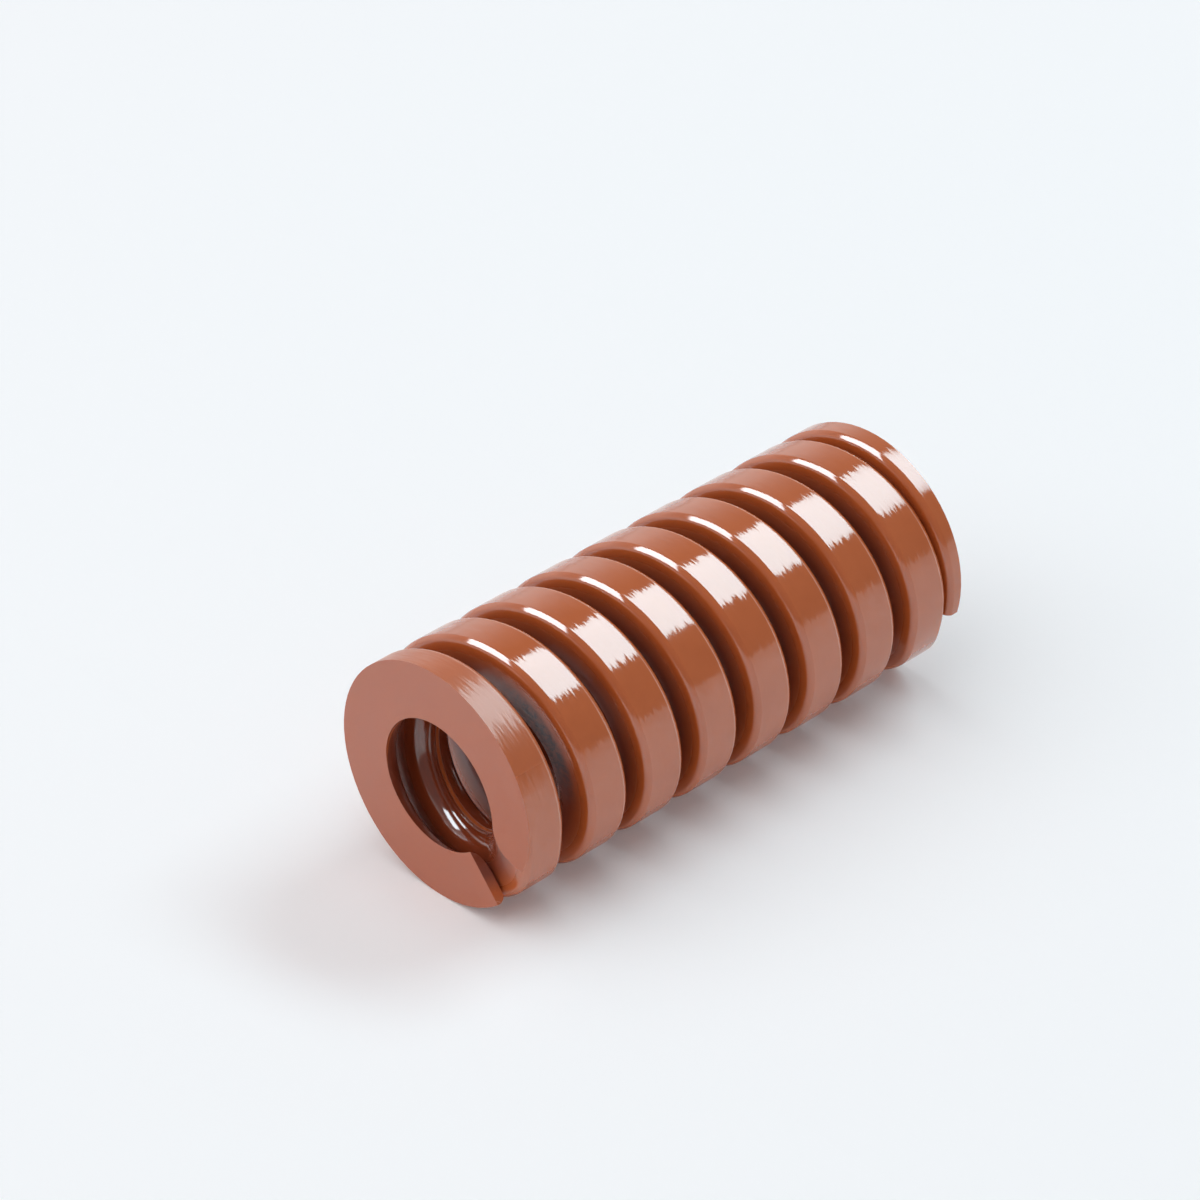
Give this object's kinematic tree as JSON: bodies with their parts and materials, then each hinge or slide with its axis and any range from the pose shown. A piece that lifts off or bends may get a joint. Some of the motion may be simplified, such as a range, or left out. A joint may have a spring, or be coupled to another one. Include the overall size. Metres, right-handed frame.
{
  "type": "die spring",
  "caption": "Short, stiff helical compression spring wound right-handed from rounded rectangular wire, with both ends closed and ground flat and an open bore for a guide rod.",
  "frame": {"origin": "centre of the bottom end's ground face, on the spring's axis", "axes": "+Z along the spring's axis, from the bottom ground end to the top ground end; the wire's bottom tip is at 275 degrees from +X towards +Y"},
  "size_m": [0.03, 0.03, 0.07],
  "materials": {
    "coated_wire": "gloss"
  },
  "bodies": {
    "root": {"die_spring": "coated_wire"}
  },
  "joints": []
}
